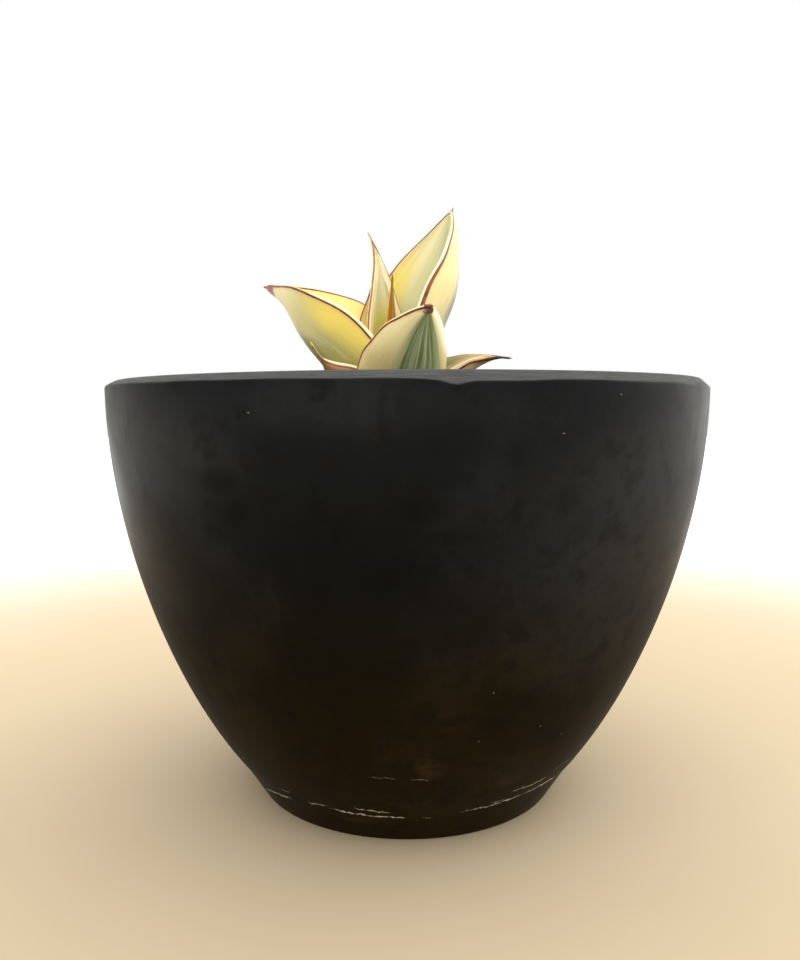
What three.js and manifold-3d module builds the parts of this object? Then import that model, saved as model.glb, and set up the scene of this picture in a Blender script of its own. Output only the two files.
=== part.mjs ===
// A young variegated succulent with thick channelled leaves, standing in a round dark pot of soil.
// Millimetres, +Z up, the middle of the pot's foot at the origin. The viewer stands on the -Y side.
import * as THREE from 'three';
import { mergeVertices } from 'three/addons/utils/BufferGeometryUtils.js';
import Module from 'manifold-3d';

const wasm = await Module();
wasm.setup();

// Clearance kept between pieces that touch
const GAP = 0.35;
const DEGREE = Math.PI / 180;

// Pot: a bowl on a short tapered foot, with a bevelled lip
const POT_RADIUS = 100;
const POT_HEIGHT = 139.2;
const LIP_BEVEL_WIDE = 3;
const LIP_BEVEL_HIGH = 2.7;
const LIP_FLAT = 4;
const WALL = 6.5;
const FOOT_RADIUS = 51.2;
const FOOT_HEIGHT = 11.4;
const FOOT_RING_WIDE = 7;
const FOOT_RECESS = 2;
const BOWL_DRAWN_IN = 38;
const BOWL_ROUNDNESS = 1.9;
const HEEL_DRAWN_IN = 3.5;
const HEEL_SHARPNESS = 8;
const FLOOR_HEIGHT = 9;
const DRAIN_RADIUS = 6.5;
const POT_SIDES = 48;
const OUTSIDE_STEPS = 10;
const INSIDE_STEPS = 7;

// Soil
const SOIL_LEVEL = 126;
const SOIL_MOUND = 2;
const SOIL_MOUND_RADIUS = 24;
const SOIL_RINGS = 7;

// Crown: the short stem that the leaves stand on, and its first roots
const CROWN_X = -3;
const CROWN_TOP = 141.5;
const HEART_RADIUS = 5;
const CROWN_RADIUS = 12;
const CROWN_WIDEST = 133.5;
const STEM_RADIUS = 6.5;
const STEM_BOTTOM = 108;
const ROOT_RADIUS = 1.9;
const ROOT_SIDES = 8;
const ROOT_BOTTOM = 116;
const ROOTS = [
  { heading: 48, reach: 17 },
  { heading: 118, reach: 20 },
  { heading: 196, reach: 16 },
  { heading: 305, reach: 18.5 },
];

// Leaves. Headings turn from +X towards +Y, and rise is the slope above level, at the base,
// at each third of the length and at the tip. Half widths are at each fifth from the base.
// Channel and belly are the depth of the hollow above and of the round back, as shares of
// the half width. Lean moves the widest part over to one side.
const LEAVES = [
  {
    name: 'leaf_spear', root: [-5, -1, 137.5], length: 38, heading: [60, 67], rise: [98, 92, 86, 83],
    roll: [1, 4], halfWidths: [3.3, 3.1, 2.6, 1.8, 1.0], channel: 0.5, belly: 0.9, lean: 0,
    color: 0x9a6a14,
  },
  {
    name: 'leaf_young', root: [-5, 2, 136], length: 61, heading: [117, 123], rise: [89, 79, 71, 51],
    roll: [-10, -5], halfWidths: [7.2, 8.2, 6.8, 4.5, 1.8], channel: 0.55, belly: 0.8, lean: 0.15,
    color: 0xc9c27a,
  },
  {
    name: 'leaf_back', root: [-5, 4.5, 134.5], length: 51.5, heading: [105, 113], rise: [69, 68, 65, 57],
    roll: [-1, -8], halfWidths: [7.4, 9.7, 9.3, 7.4, 3.8], channel: 0.5, belly: 0.8, lean: 0.21,
    color: 0xd0b868,
  },
  {
    name: 'leaf_tall', root: [-3, 1.5, 135.5], length: 75.5, heading: [20, 50], rise: [108, 74, 54, 55],
    roll: [7, -7], halfWidths: [10.3, 13.6, 15.3, 15, 9.1], channel: 0.45, belly: 1.11, lean: 0.21,
    color: 0xdcd08c,
  },
  {
    name: 'leaf_left', root: [-4.5, -2.5, 139], length: 76, heading: [184, 126], rise: [85, 42, 14, 6],
    roll: [-1, -2], halfWidths: [11.4, 16.4, 17.1, 14.1, 5.1], channel: 0.45, belly: 1.17, lean: -0.34,
    color: 0xd2c270,
  },
  {
    name: 'leaf_front', root: [-3.5, -5, 134.5], length: 45.5, heading: [283, 292], rise: [63, 48, 31, 3],
    roll: [6, 7], halfWidths: [12.2, 15.2, 14.7, 11.8, 6.7], channel: 0.45, belly: 0.84, lean: 0,
    color: 0xc4bb86,
  },
  {
    name: 'leaf_low_right', root: [1, -1.5, 137], length: 37.5, heading: [348, 335], rise: [40, 24, 9, -9],
    roll: [33, 14], halfWidths: [8.5, 10.1, 8.4, 4.8, 1.5], channel: 0.4, belly: 0.81, lean: 0,
    color: 0x9a8a58,
  },
  {
    name: 'leaf_low_left', root: [-5, -4, 135.5], length: 37, heading: [200, 241], rise: [17, 19, 24, 45],
    roll: [10, 28], halfWidths: [8.8, 10.3, 8.2, 4.8, 0.9], channel: 0.4, belly: 0.74, lean: 0,
    color: 0x8a5a3c,
  },
];
const RIM_RADIUS = [1, 0.7];
const RIM_SHARE = 0.45;
const THINNEST_HALF = 0.4;
const POINT_LENGTH = 0.8;
const CHANNEL_ROUNDNESS = 1.8;
const NECK_LENGTH = 9;
const NECK_SHARE = 0.6;
const LEAF_STATIONS = 15;
const STEPS_PER_STATION = 8;
const BELLY_POINTS = 8;
const CHANNEL_POINTS = 4;

const POT_FINISH = { color: 0x2b2b2a, roughness: 0.62 };
const SOIL_FINISH = { color: 0x4a3526, roughness: 0.95 };
const CROWN_FINISH = { color: 0x8c6b45, roughness: 0.8 };
const LEAF_ROUGHNESS = 0.42;

const mix = (from, to, share) => from + (to - from) * share;

// A smooth curve through evenly spaced values, read at a share of its length
function smooth(values, share) {
  const last = values.length - 1;
  const at = Math.min(Math.max(share, 0), 1) * last;
  const i = Math.min(Math.floor(at), last - 1);
  const f = at - i;
  const p1 = values[i];
  const p2 = values[i + 1];
  const p0 = i > 0 ? values[i - 1] : 2 * p1 - p2;
  const p3 = i + 2 <= last ? values[i + 2] : 2 * p2 - p1;
  const second = (2 * p0 - 5 * p1 + 4 * p2 - p3) / 2;
  const third = (3 * p1 - p0 - 3 * p2 + p3) / 2;
  return p1 + f * ((p2 - p0) / 2 + f * (second + f * third));
}

// A closed solid for joining and cutting, and back to a geometry
function toSolid(geometry) {
  const bare = geometry.clone();
  bare.deleteAttribute('normal');
  bare.deleteAttribute('uv');
  const merged = mergeVertices(bare, 1e-4);
  const mesh = new wasm.Mesh({
    numProp: 3,
    vertProperties: new Float32Array(merged.attributes.position.array),
    triVerts: new Uint32Array(merged.index.array),
  });
  return new wasm.Manifold(mesh);
}

function toGeometry(solid) {
  const mesh = solid.getMesh();
  const geometry = new THREE.BufferGeometry();
  geometry.setAttribute('position', new THREE.BufferAttribute(new Float32Array(mesh.vertProperties), 3));
  geometry.setIndex(new THREE.BufferAttribute(new Uint32Array(mesh.triVerts), 1));
  geometry.computeVertexNormals();
  return geometry;
}

function largestBody(solid) {
  const bodies = solid.decompose();
  bodies.sort((a, b) => b.volume() - a.volume());
  return bodies[0];
}

// A turned shape standing along +Z, from points of radius and height
function turned(points, sides) {
  const outline = points.map(([radius, height]) => new THREE.Vector2(radius, height));
  const geometry = new THREE.LatheGeometry(outline, sides);
  geometry.rotateX(Math.PI / 2);
  return geometry;
}

// Pot
const bodyTop = POT_HEIGHT - LIP_BEVEL_HIGH;

function potRadiusAt(height) {
  const down = (bodyTop - height) / (bodyTop - FOOT_HEIGHT);
  return POT_RADIUS - BOWL_DRAWN_IN * down ** BOWL_ROUNDNESS - HEEL_DRAWN_IN * down ** HEEL_SHARPNESS;
}

function potGeometry() {
  const outside = [[FOOT_RADIUS, 0]];
  for (let i = 0; i <= OUTSIDE_STEPS; i++) {
    // Steps crowd towards the foot, where the bowl curves most
    const height = mix(FOOT_HEIGHT, bodyTop, (i / OUTSIDE_STEPS) ** 1.3);
    outside.push([potRadiusAt(height), height]);
  }
  const lipOuter = POT_RADIUS - LIP_BEVEL_WIDE;
  const lip = [[lipOuter, POT_HEIGHT], [lipOuter - LIP_FLAT, POT_HEIGHT]];
  const inside = [];
  for (let i = 0; i <= INSIDE_STEPS; i++) {
    const height = mix(bodyTop, FLOOR_HEIGHT + 5, (i / INSIDE_STEPS) ** 0.8);
    inside.push([potRadiusAt(height) - WALL, height]);
  }
  const floor = [[FOOT_RADIUS - WALL, FLOOR_HEIGHT], [DRAIN_RADIUS, FLOOR_HEIGHT]];
  const ringInner = FOOT_RADIUS - FOOT_RING_WIDE;
  const under = [[DRAIN_RADIUS, FOOT_RECESS], [ringInner - FOOT_RECESS, FOOT_RECESS], [ringInner, 0]];
  return turned([...outside, ...lip, ...inside, ...floor, ...under, outside[0]], POT_SIDES);
}

// Soil
function soilRelief(x, y) {
  const fromCrown = Math.hypot(x - CROWN_X, y);
  const mound = SOIL_MOUND * Math.exp(-((fromCrown / SOIL_MOUND_RADIUS) ** 2));
  const slow = 0.6 * Math.sin(0.09 * x + 1.1) * Math.sin(0.11 * y + 2.3);
  const quick = 0.45 * Math.sin(0.21 * x - 0.17 * y + 0.6);
  return mound + slow + quick;
}

function soilGeometry() {
  const bottom = FLOOR_HEIGHT + GAP;
  const points = [[0, bottom], [FOOT_RADIUS - WALL - 2 * GAP, bottom]];
  for (let i = INSIDE_STEPS; i >= 0; i--) {
    const height = mix(bodyTop, FLOOR_HEIGHT + 5, (i / INSIDE_STEPS) ** 0.8);
    if (height < SOIL_LEVEL - 4) points.push([potRadiusAt(height) - WALL - 1.5 * GAP, height]);
  }
  const edge = potRadiusAt(SOIL_LEVEL) - WALL - 1.5 * GAP;
  for (let i = 0; i < SOIL_RINGS; i++) points.push([edge * (1 - i / SOIL_RINGS), SOIL_LEVEL]);
  points.push([0, SOIL_LEVEL]);
  const geometry = turned(points, POT_SIDES);
  const position = geometry.attributes.position;
  for (let i = 0; i < position.count; i++) {
    if (position.getZ(i) < SOIL_LEVEL - 0.01) continue;
    position.setZ(i, SOIL_LEVEL + soilRelief(position.getX(i), position.getY(i)));
  }
  return geometry;
}

// Crown
function crownSolid(grow) {
  const profile = [
    [0, STEM_BOTTOM - grow],
    [STEM_RADIUS * 0.7 + grow, STEM_BOTTOM - grow],
    [STEM_RADIUS + grow, STEM_BOTTOM + 6],
    [STEM_RADIUS + grow, SOIL_LEVEL + 2],
    [CROWN_RADIUS * 0.9 + grow, CROWN_WIDEST - 1.6 - grow],
    [CROWN_RADIUS + grow, CROWN_WIDEST],
    [CROWN_RADIUS * 0.8 + grow, mix(CROWN_WIDEST, CROWN_TOP, 0.35) + grow],
    [HEART_RADIUS + grow, mix(CROWN_WIDEST, CROWN_TOP, 0.7) + grow],
    [HEART_RADIUS * 0.6, CROWN_TOP - 0.6 + grow],
    [0, CROWN_TOP + grow],
  ];
  let crown = toSolid(turned(profile, 24).translate(CROWN_X, 0, 0));
  for (const root of ROOTS) crown = crown.add(rootSolid(root, grow));
  return crown;
}

// A thick root that arches out of the crown and down into the soil
function rootSolid({ heading, reach }, grow) {
  const out = new THREE.Vector3(Math.cos(heading * DEGREE), Math.sin(heading * DEGREE), 0);
  const at = (away, height) => out.clone().multiplyScalar(away).add(new THREE.Vector3(CROWN_X, 0, height));
  const path = new THREE.CatmullRomCurve3([
    at(CROWN_RADIUS * 0.5, CROWN_WIDEST - 1),
    at(mix(CROWN_RADIUS, reach, 0.4), CROWN_WIDEST - 2),
    at(reach * 0.93, SOIL_LEVEL + 1),
    at(reach, ROOT_BOTTOM - grow),
  ]);
  const section = new THREE.Shape();
  section.absarc(0, 0, ROOT_RADIUS + grow, 0, 2 * Math.PI, false);
  const options = { steps: 8, curveSegments: ROOT_SIDES, bevelEnabled: false, extrudePath: path };
  return toSolid(new THREE.ExtrudeGeometry(section, options));
}

// Leaves
function leafDirection(leaf, share) {
  const heading = smooth(leaf.heading, share) * DEGREE;
  const rise = smooth(leaf.rise, share) * DEGREE;
  const along = new THREE.Vector3(
    Math.cos(rise) * Math.cos(heading), Math.cos(rise) * Math.sin(heading), Math.sin(rise));
  const level = new THREE.Vector3(
    -Math.sin(rise) * Math.cos(heading), -Math.sin(rise) * Math.sin(heading), Math.cos(rise));
  const across = new THREE.Vector3().crossVectors(level, along);
  const roll = smooth(leaf.roll, share) * DEGREE;
  const side = across.clone().multiplyScalar(Math.cos(roll)).addScaledVector(level, Math.sin(roll));
  const up = level.clone().multiplyScalar(Math.cos(roll)).addScaledVector(across, -Math.sin(roll));
  return { along, side, up };
}

// The leaf's midline, as points at each station
function leafMidline(leaf) {
  const point = new THREE.Vector3(...leaf.root);
  const stations = [point.clone()];
  const steps = (LEAF_STATIONS - 1) * STEPS_PER_STATION;
  for (let i = 1; i <= steps; i++) {
    const { along } = leafDirection(leaf, (i - 0.5) / steps);
    point.addScaledVector(along, leaf.length / steps);
    if (i % STEPS_PER_STATION === 0) stations.push(point.clone());
  }
  return stations;
}

// One ring of the leaf: a round back, two rounded rims and a hollow between them
function leafSection(leaf, share, grow) {
  const neck = Math.min(share * leaf.length / NECK_LENGTH, 1);
  const drawIn = mix(NECK_SHARE, 1, neck * neck * (3 - 2 * neck));
  const half = Math.max(smooth([...leaf.halfWidths, 0], share), THINNEST_HALF) * drawIn;
  const lean = leaf.lean * Math.sin(Math.PI * share);
  const right = half * (1 + lean) + grow;
  const left = half * (1 - lean) + grow;
  const rim = Math.min(mix(...RIM_RADIUS, share), RIM_SHARE * half) + grow;
  const depth = rim + leaf.belly * half;
  const ring = [];
  for (let i = 0; i <= BELLY_POINTS; i++) {
    const angle = Math.PI * i / BELLY_POINTS;
    const reach = Math.cos(angle) >= 0 ? right : left;
    ring.push([reach * Math.cos(angle), -depth * Math.sin(angle)]);
  }
  const corner = rim * Math.SQRT1_2;
  ring.push([-(left - rim) - corner, corner]);
  for (let i = 0; i <= CHANNEL_POINTS; i++) {
    const across = 2 * i / CHANNEL_POINTS - 1;
    const reach = (across >= 0 ? right : left) - rim;
    const hollow = leaf.channel * half * (1 - Math.abs(across) ** CHANNEL_ROUNDNESS);
    ring.push([reach * across, rim - hollow]);
  }
  ring.push([right - rim + corner, corner]);
  return ring;
}

function leafGeometry(leaf, grow = 0) {
  const positions = [];
  const index = [];
  const midline = leafMidline(leaf);
  let ringSize = 0;
  midline.forEach((middle, station) => {
    const share = station / (LEAF_STATIONS - 1);
    const { side, up } = leafDirection(leaf, share);
    const ring = leafSection(leaf, share, grow);
    ringSize = ring.length;
    for (const [s, n] of ring) {
      positions.push(...middle.clone().addScaledVector(side, s).addScaledVector(up, n).toArray());
    }
  });
  const base = positions.length / 3;
  positions.push(...leaf.root);
  const tip = base + 1;
  const { along } = leafDirection(leaf, 1);
  const point = midline[midline.length - 1].clone().addScaledVector(along, POINT_LENGTH + grow);
  positions.push(...point.toArray());
  for (let j = 0; j < ringSize; j++) {
    const next = (j + 1) % ringSize;
    for (let i = 0; i < LEAF_STATIONS - 1; i++) {
      const a = i * ringSize + j;
      const b = i * ringSize + next;
      index.push(a, b + ringSize, b, a, a + ringSize, b + ringSize);
    }
    const lastRing = (LEAF_STATIONS - 1) * ringSize;
    index.push(base, j, next, tip, lastRing + next, lastRing + j);
  }
  const geometry = new THREE.BufferGeometry();
  geometry.setAttribute('position', new THREE.Float32BufferAttribute(positions, 3));
  geometry.setIndex(index);
  geometry.computeVertexNormals();
  return geometry;
}

// Each leaf is cut back from the crown and from every leaf younger than itself
function leafMeshes(crownRoom) {
  const younger = [crownRoom];
  return LEAVES.map((leaf) => {
    let solid = toSolid(leafGeometry(leaf));
    for (const room of younger) solid = solid.subtract(room);
    younger.push(toSolid(leafGeometry(leaf, GAP)));
    return named(leaf.name, toGeometry(largestBody(solid)), { color: leaf.color, roughness: LEAF_ROUGHNESS });
  });
}

function named(name, geometry, { color, roughness }) {
  const mesh = new THREE.Mesh(geometry, new THREE.MeshStandardMaterial({ color, roughness, metalness: 0 }));
  mesh.name = name;
  return mesh;
}

const crownRoom = crownSolid(GAP);
const soil = toSolid(soilGeometry()).subtract(crownRoom);

const group = new THREE.Group();
group.add(named('pot', potGeometry(), POT_FINISH));
group.add(named('soil', toGeometry(largestBody(soil)), SOIL_FINISH));
group.add(named('crown', toGeometry(crownSolid(0)), CROWN_FINISH));
group.add(...leafMeshes(crownRoom));

export default group;
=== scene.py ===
# A young variegated succulent in a round dark pot, dressed for its pictures.
# Shapes are worked out in millimetres, in the frame's own axes, and written to Blender in metres.
import math

import bmesh
import bpy
import numpy as np
from mathutils import Euler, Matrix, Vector


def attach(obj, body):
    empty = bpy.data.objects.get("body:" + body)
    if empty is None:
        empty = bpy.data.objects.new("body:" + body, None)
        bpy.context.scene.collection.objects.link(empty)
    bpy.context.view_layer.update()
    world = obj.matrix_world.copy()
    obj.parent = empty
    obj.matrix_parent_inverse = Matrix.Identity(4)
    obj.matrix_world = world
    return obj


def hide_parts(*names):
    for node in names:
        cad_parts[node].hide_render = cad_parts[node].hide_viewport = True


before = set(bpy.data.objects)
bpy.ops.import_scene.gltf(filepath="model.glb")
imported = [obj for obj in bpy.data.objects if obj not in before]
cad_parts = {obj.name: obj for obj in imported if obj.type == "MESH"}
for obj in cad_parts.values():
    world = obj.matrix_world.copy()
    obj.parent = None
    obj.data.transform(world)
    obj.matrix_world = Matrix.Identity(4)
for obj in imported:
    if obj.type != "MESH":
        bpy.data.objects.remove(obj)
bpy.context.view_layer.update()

MM = 0.001
SEED = 20

# Camera, where the photograph was taken from: distances in millimetres, angles in degrees, and how near
# and far it sees in metres
LENS_MM = 31.29
SENSOR_MM = 36
CAMERA_AWAY = 294.05
CAMERA_HIGH = 129.27
CAMERA_DOWN = 4.694
CAMERA_LEFT = 0.44
CAMERA_SEES = (0.01, 20)

# Studio light: how bright the surroundings are from before the plant round to behind it, as pairs of
# (share of the way, brightness), how much is added overhead, and how much brighter the right side is
STUDIO_AROUND = [(0, 0.1), (0.16, 0.38), (0.28, 1.05), (0.4, 1.75), (0.58, 1.9), (1, 1.5)]
STUDIO_TOP = 0.5
STUDIO_RIGHT = 0.46
KEY_TOWARD = (-0.12, -1, 0.6)
KEY_STRENGTH = 1.8
KEY_SOFTNESS = 85

# Floor, in millimetres from the pot
FLOOR_REACH = 4000
FLOOR_FADE = (230, 850)

# Pot
POT_RADIUS = 100
POT_HEIGHT = 139.2
LIP_BEVEL_WIDE = 3
LIP_BEVEL_HIGH = 2.7
LIP_FLAT = 4
WALL = 6.5
FOOT_RADIUS = 51.2
FOOT_HEIGHT = 11.4
FOOT_RING_WIDE = 7
FOOT_RECESS = 2
BOWL_DRAWN_IN = 38
BOWL_ROUNDNESS = 1.9
HEEL_DRAWN_IN = 3.5
HEEL_SHARPNESS = 8
FLOOR_HEIGHT = 9
DRAIN_RADIUS = 6.5
POT_SIDES = 360
LIP_TILT = 0.45
FOOT_STEPS = 6
WALL_STEPS = 44
INSIDE_STEPS = 24
EDGE_ROUNDINGS = dict(foot=0.8, heel=1.3, crease=0.5, lip=0.9, recess=0.6)

# The pot's worn bevel: its rise, and the chip in it with a shallow dip beside that
EDGE_RISE = 0.3
EDGE_REACH = 1.6
CHIP_ANGLE = math.radians(6.7)
CHIP_WIDE = 2.6
CHIP_DEEP = 0.9
CHIP_INWARD = 0.3
DIP_ASIDE = 8
DIP_WIDE = 14
DIP_DEEP = 0.6

# Soil and crown
SOIL_LEVEL = 126
SOIL_MOUND = 2
SOIL_MOUND_RADIUS = 24
SOIL_RINGS = 70
SOIL_SIDES = 240
SOIL_EDGE_GAP = 0.3
SOIL_WALL_GAP = 0.5
SOIL_BASE_RADIUS = 44
SOIL_BASE_GAP = 0.35
GRAIN_WALL_GAP = 1.5
GRAIN_SINK = 0.3
GRAIN_UNEVEN = 0.11
CROWN_X = -3
CROWN_TOP = 141.5
HEART_RADIUS = 5
CROWN_RADIUS = 12
CROWN_WIDEST = 133.5
STEM_RADIUS = 6.5
STEM_BOTTOM = 108
ROOT_RADIUS = 1.9
ROOT_BOTTOM = 116
CROWN_SIDES = 72
CROWN_STATIONS = 46
ROOT_SIDES = 20
ROOT_STATIONS = 40
ROOTS = [(48, 17), (118, 20), (196, 16), (305, 18.5)]

# Leaves: lengths in millimetres, and where the dried tip and the climbing line set in as shares of the leaf
RIM_RADIUS = (1, 0.7)
RIM_SHARE = 0.45
THINNEST_HALF = 0.4
POINT_LENGTH = 1.6
CHANNEL_ROUNDNESS = 1.8
NECK_LENGTH = 9
NECK_SHARE = 0.6
LEAF_STATIONS = 170
UNDER_POINTS = 56
CHANNEL_POINTS = 34
RIM_POINTS = 9
MIDLINE_STEPS = 1200
MARGIN_CROWDING = 0.85
DRIED_FROM = 0.945
DRIED_HIGH = 0.9
DRIED_SETS_IN = 0.02
DRIED_CLOSES = 0.012
LINE_CLIMB = (0.4, 0.25)
FULL_BODY = 4
BEAD_HIGH = 0.14
BEAD_WIDE = 0.32
RIPPLE_HIGH = 0.3
RELIEF_HIGH = 0.03
RELIEF_RIDGES = (9, 17, 31)

# Leaves: angles in degrees, heading from +X towards +Y, half widths evenly spaced from the root up.
# Their left and right margins: where the brown line runs, in millimetres from the outermost edge towards
# the inner face, how strong it is, how wide the pale band inside it is, and how peach that is
LEAVES = {
    "leaf_spear": dict(
        root=(-5, -1, 137.5), length=38, heading=(60, 67), rise=(98, 92, 86, 83), roll=(1, 4),
        half_widths=(3.3, 3.1, 2.6, 1.8, 1.0), channel=0.5, belly=0.9, lean=0,
        margins=((-0.3, 0.2, 0.2, 0), (-0.3, 0.2, 0.2, 0))),
    "leaf_young": dict(
        root=(-5, 2, 136), length=61, heading=(117, 123), rise=(89, 79, 71, 51), roll=(-10, -5),
        half_widths=(7.2, 8.2, 6.8, 4.5, 1.8), channel=0.55, belly=0.8, lean=0.15,
        margins=((0.75, 0.8, 2.2, 0.1), (0.6, 0.9, 2.8, 0.2))),
    "leaf_back": dict(
        root=(-5, 4.5, 134.5), length=51.5, heading=(105, 113), rise=(69, 68, 65, 57), roll=(-1, -8),
        half_widths=(7.4, 9.7, 9.3, 7.4, 3.8), channel=0.5, belly=0.8, lean=0.21,
        margins=((0.8, 0.9, 0.8, 0.5), (0.8, 1, 0.8, 0.5))),
    "leaf_tall": dict(
        root=(-3, 1.5, 135.5), length=75.5, heading=(20, 50), rise=(108, 74, 54, 55), roll=(7, -7),
        half_widths=(10.3, 13.6, 15.3, 15, 9.1), channel=0.45, belly=1.11, lean=0.21,
        margins=((-0.25, 1, 2.0, 0), (1.15, 1, 1.2, 1))),
    "leaf_left": dict(
        root=(-4.5, -2.5, 139), length=76, heading=(184, 126), rise=(85, 42, 14, 6), roll=(-1, -2),
        half_widths=(11.4, 16.4, 17.1, 14.1, 5.1), channel=0.45, belly=1.17, lean=-0.34, line_climbs=0.6,
        margins=((1.35, 1, 0.6, 0.5), (-0.25, 1, 1.5, 0.1))),
    "leaf_front": dict(
        root=(-3.5, -5, 134.5), length=45.5, heading=(283, 292), rise=(63, 48, 31, 3), roll=(6, 7),
        half_widths=(12.2, 15.2, 14.7, 11.8, 6.7), channel=0.45, belly=0.84, lean=0, dried=1,
        margins=((-0.15, 1, 0.7, 0.1), (-0.2, 0.25, 2.2, 0))),
    "leaf_low_right": dict(
        root=(1, -1.5, 137), length=37.5, heading=(348, 335), rise=(40, 24, 9, -9), roll=(33, 14),
        half_widths=(8.5, 10.1, 8.4, 4.8, 1.5), channel=0.4, belly=0.81, lean=0,
        margins=((-0.6, 1, 1.6, 0.5), (0.3, 1, 0.5, 0.6))),
    "leaf_low_left": dict(
        root=(-5, -4, 135.5), length=37, heading=(200, 241), rise=(17, 19, 24, 45), roll=(10, 28),
        half_widths=(8.8, 10.3, 8.2, 4.8, 0.9), channel=0.4, belly=0.74, lean=0,
        margins=((0.8, 0.9, 0.8, 0.2), (-0.8, 0.8, 1.6, 0))),
}


def shader_color(color):
    """A colour's shader values: three numbers are as seen on a screen, from 0 to 255, four stay."""
    def linear(value):
        share = value / 255
        return share / 12.92 if share <= 0.04045 else ((share + 0.055) / 1.055) ** 2.4
    return (*map(linear, color), 1) if len(color) == 3 else color


# Colours that more than one look uses
PALE_GREEN = (208, 208, 160)
LEAF_GREEN = (112, 124, 78)
PEACH = (226, 182, 132)
RED_BROWN = (140, 66, 36)
LINE_BROWN = (128, 62, 8)
DARK_BROWN = (80, 40, 4)
AMBER = (152, 104, 2)
RIM_CREAM = (238, 226, 186)
CHALK = (190, 182, 160)
WARM_GLOSS = (1, 0.92, 0.8, 1)
WHITE = (1, 1, 1, 1)


class Tree:
    """Short names for the nodes of one material, world or node group."""

    def __init__(self, tree):
        self.tree = tree

    def node(self, kind, settings=None, *inputs, **named):
        """A new node with its settings, and its inputs linked or set in their order or by name."""
        made = self.tree.nodes.new(kind)
        for name, value in (settings or {}).items():
            setattr(made, name, value)
        for socket, value in zip(made.inputs, inputs):
            self.feed(socket, value)
        self.feed_all(made, **named)
        return made

    def feed_all(self, node, **named):
        for name, value in named.items():
            self.feed(node.inputs[name.replace("_", " ")], value)

    def feed(self, socket, value):
        if isinstance(value, bpy.types.NodeSocket):
            self.tree.links.new(value, socket)
        elif socket.type == "RGBA":
            socket.default_value = shader_color(value)
        else:
            socket.default_value = value

    def math(self, operation, a, b=0.0):
        return self.node("ShaderNodeMath", {"operation": operation}, a, b).outputs[0]

    def add(self, a, b):
        return self.math("ADD", a, b)

    def sub(self, a, b):
        return self.math("SUBTRACT", a, b)

    def mul(self, a, b):
        return self.math("MULTIPLY", a, b)

    def remap(self, value, low, high, to_low=0.0, to_high=1.0, smooth=True):
        """The value's way from low to high, eased at both ends, as a way from to_low to to_high."""
        settings = {"interpolation_type": "SMOOTHSTEP" if smooth else "LINEAR"}
        made = self.node("ShaderNodeMapRange", settings, value, low, high, to_low, to_high)
        return made.outputs[0]

    def mix(self, first, second, share):
        made = self.node("ShaderNodeMix", {"data_type": "RGBA", "clamp_factor": True}, share)
        self.feed(made.inputs[6], first)
        self.feed(made.inputs[7], second)
        return made.outputs[2]

    def noise(self, vector, scale=1.0, detail=2.0, roughness=0.5):
        made = self.node(
            "ShaderNodeTexNoise", Vector=vector, Scale=scale, Detail=detail, Roughness=roughness)
        return made.outputs[0]

    def stretched(self, u, u_scale, v, v_scale, seed, detail, roughness=0.5):
        """Noise over two measures of the surface, each with a scale of its own."""
        place = self.vector(self.mul(u, u_scale), self.mul(v, v_scale), seed)
        return self.noise(place, 1, detail, roughness)

    def sway(self, noise, reach):
        """The noise as a number that swings round 0."""
        return self.mul(self.sub(noise, 0.5), reach)

    def group(self, group, *inputs):
        """What a node group makes of these inputs."""
        return self.node("ShaderNodeGroup", {"node_tree": group}, *inputs).outputs[0]

    def vector(self, x, y, z):
        return self.node("ShaderNodeCombineXYZ", None, x, y, z).outputs[0]

    def attribute(self, name):
        return self.node("ShaderNodeAttribute", {"attribute_name": name}).outputs[2]

    def ramp(self, value, stops):
        made = self.node("ShaderNodeValToRGB", None, value)
        elements = made.color_ramp.elements
        while len(elements) < len(stops):
            elements.new(0.5)
        for element, (place, color) in zip(elements, stops):
            element.position = place
            element.color = shader_color(color)
        return made.outputs[0]

    def place_mm(self):
        """The point of the surface in millimetres, as a vector and as its three numbers."""
        raw = self.node("ShaderNodeTexCoord").outputs["Object"]
        scaled = self.node("ShaderNodeVectorMath", {"operation": "SCALE"}, raw, Scale=1 / MM).outputs[0]
        parts = self.node("ShaderNodeSeparateXYZ", None, scaled)
        return scaled, *parts.outputs

    def bump(self, height, strength, distance_mm):
        return self.node(
            "ShaderNodeBump", Height=height, Strength=strength, Distance=distance_mm * MM).outputs[0]


def new_material(name):
    """An empty material, its node tree and its surface shader."""
    material = bpy.data.materials.new(name)
    material.use_nodes = True
    tree = Tree(material.node_tree)
    shader = material.node_tree.nodes["Principled BSDF"]
    return material, tree, shader


def new_piece(name, points, faces, material, attributes=None, smooth=True):
    """A mesh object from points in millimetres."""
    mesh = bpy.data.meshes.new(name)
    mesh.from_pydata((np.asarray(points) * MM).tolist(), [], [tuple(face) for face in faces])
    mesh.materials.append(material)
    for key, values in (attributes or {}).items():
        layer = mesh.attributes.new(key, "FLOAT", "POINT")
        layer.data.foreach_set("value", np.asarray(values, dtype=np.float32))
    mesh.validate()
    mesh.polygons.foreach_set("use_smooth", [smooth] * len(mesh.polygons))
    piece = bpy.data.objects.new(name, mesh)
    bpy.context.collection.objects.link(piece)
    return piece


def mix(start, end, share):
    return start + (end - start) * share


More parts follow.
